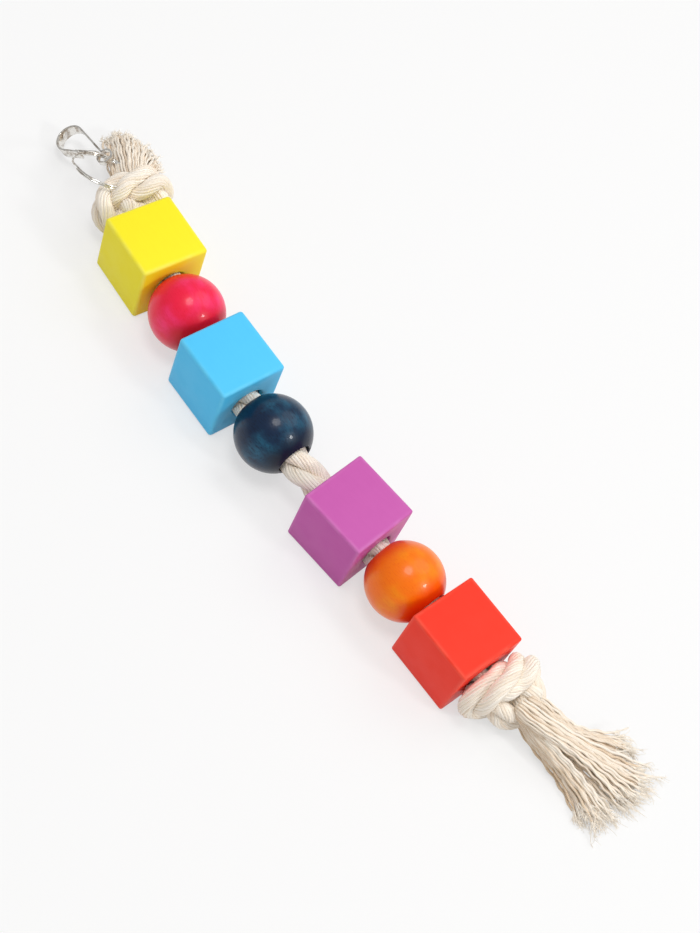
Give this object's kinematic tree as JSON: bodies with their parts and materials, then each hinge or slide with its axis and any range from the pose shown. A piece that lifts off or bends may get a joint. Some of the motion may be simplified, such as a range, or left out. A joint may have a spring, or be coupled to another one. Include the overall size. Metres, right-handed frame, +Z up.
{
  "type": "bird block toy",
  "caption": "Hanging bird toy: wooden blocks and balls strung on a knotted cotton rope with frayed ends, a split ring and a small snap hook.",
  "frame": {"origin": "middle of the toy's outline on the table that it lies on", "axes": "+X along the rope towards the long tassel, +Z up from the table"},
  "size_m": [0.3018, 0.0562, 0.026],
  "materials": {
    "yellow_paint": "satin paint",
    "blue_paint": "satin paint",
    "purple_paint": "satin paint",
    "red_paint": "satin paint",
    "pink_stain": "gloss lacquer over stain",
    "navy_stain": "gloss lacquer over stain",
    "orange_stain": "gloss lacquer over stain",
    "cotton": "matt",
    "nickel": "polished nickel plating"
  },
  "bodies": {
    "rope": {"rope": "cotton", "top_knot": "cotton", "bottom_knot": "cotton", "top_tassel": "cotton", "bottom_tassel": "cotton"},
    "yellow_block": {"yellow_block": "yellow_paint"},
    "pink_ball": {"pink_ball": "pink_stain"},
    "blue_block": {"blue_block": "blue_paint"},
    "navy_ball": {"navy_ball": "navy_stain"},
    "purple_block": {"purple_block": "purple_paint"},
    "orange_ball": {"orange_ball": "orange_stain"},
    "red_block": {"red_block": "red_paint"},
    "split_ring": {"split_ring": "nickel"},
    "snap_hook": {"snap_hook": "nickel"},
    "hook_gate": {"hook_gate": "nickel"}
  },
  "joints": [
    {"name": "yellow_block_turn", "type": "hinge", "parent": "rope", "child": "yellow_block", "pos_m": [-0.08792, -0.0098, 0.0125], "axis": [0.9977, -0.068, 0], "continuous": true},
    {"name": "pink_ball_turn", "type": "hinge", "parent": "rope", "child": "pink_ball", "pos_m": [-0.06319, -0.01272, 0.013], "axis": [0.9854, -0.1702, 0], "continuous": true},
    {"name": "blue_block_turn", "type": "hinge", "parent": "rope", "child": "blue_block", "pos_m": [-0.03794, -0.0151, 0.0125], "axis": [0.9997, -0.0227, 0], "continuous": true},
    {"name": "navy_ball_turn", "type": "hinge", "parent": "rope", "child": "navy_ball", "pos_m": [-0.01151, -0.01513, 0.013], "axis": [0.9997, 0.0227, 0], "continuous": true},
    {"name": "purple_block_turn", "type": "hinge", "parent": "rope", "child": "purple_block", "pos_m": [0.02662, -0.01283, 0.0125], "axis": [0.9954, 0.0958, 0], "continuous": true},
    {"name": "orange_ball_turn", "type": "hinge", "parent": "rope", "child": "orange_ball", "pos_m": [0.05277, -0.01079, 0.013], "axis": [0.9983, 0.0576, 0], "continuous": true},
    {"name": "red_block_turn", "type": "hinge", "parent": "rope", "child": "red_block", "pos_m": [0.07789, -0.00994, 0.0125], "axis": [0.9999, 0.0122, 0], "continuous": true},
    {"name": "ring_through_knot", "type": "hinge", "parent": "rope", "child": "split_ring", "pos_m": [-0.12232, -0.0069, 0.0185], "axis": [-0.191, 0.414, 0.89], "range_deg": [0, 75]},
    {"name": "hook_on_ring", "type": "hinge", "parent": "split_ring", "child": "snap_hook", "pos_m": [-0.12958, -0.00043, 0.01393], "axis": [-0.7118, -0.6828, 0.1649], "range_deg": [-60, 10]},
    {"name": "gate_spring", "type": "hinge", "parent": "snap_hook", "child": "hook_gate", "pos_m": [-0.13266, -0.00083, 0.01242], "axis": [0.3332, 0.4852, -0.8084], "range_deg": [0, 20], "stiffness_Nm_per_rad": 0.002}
  ]
}
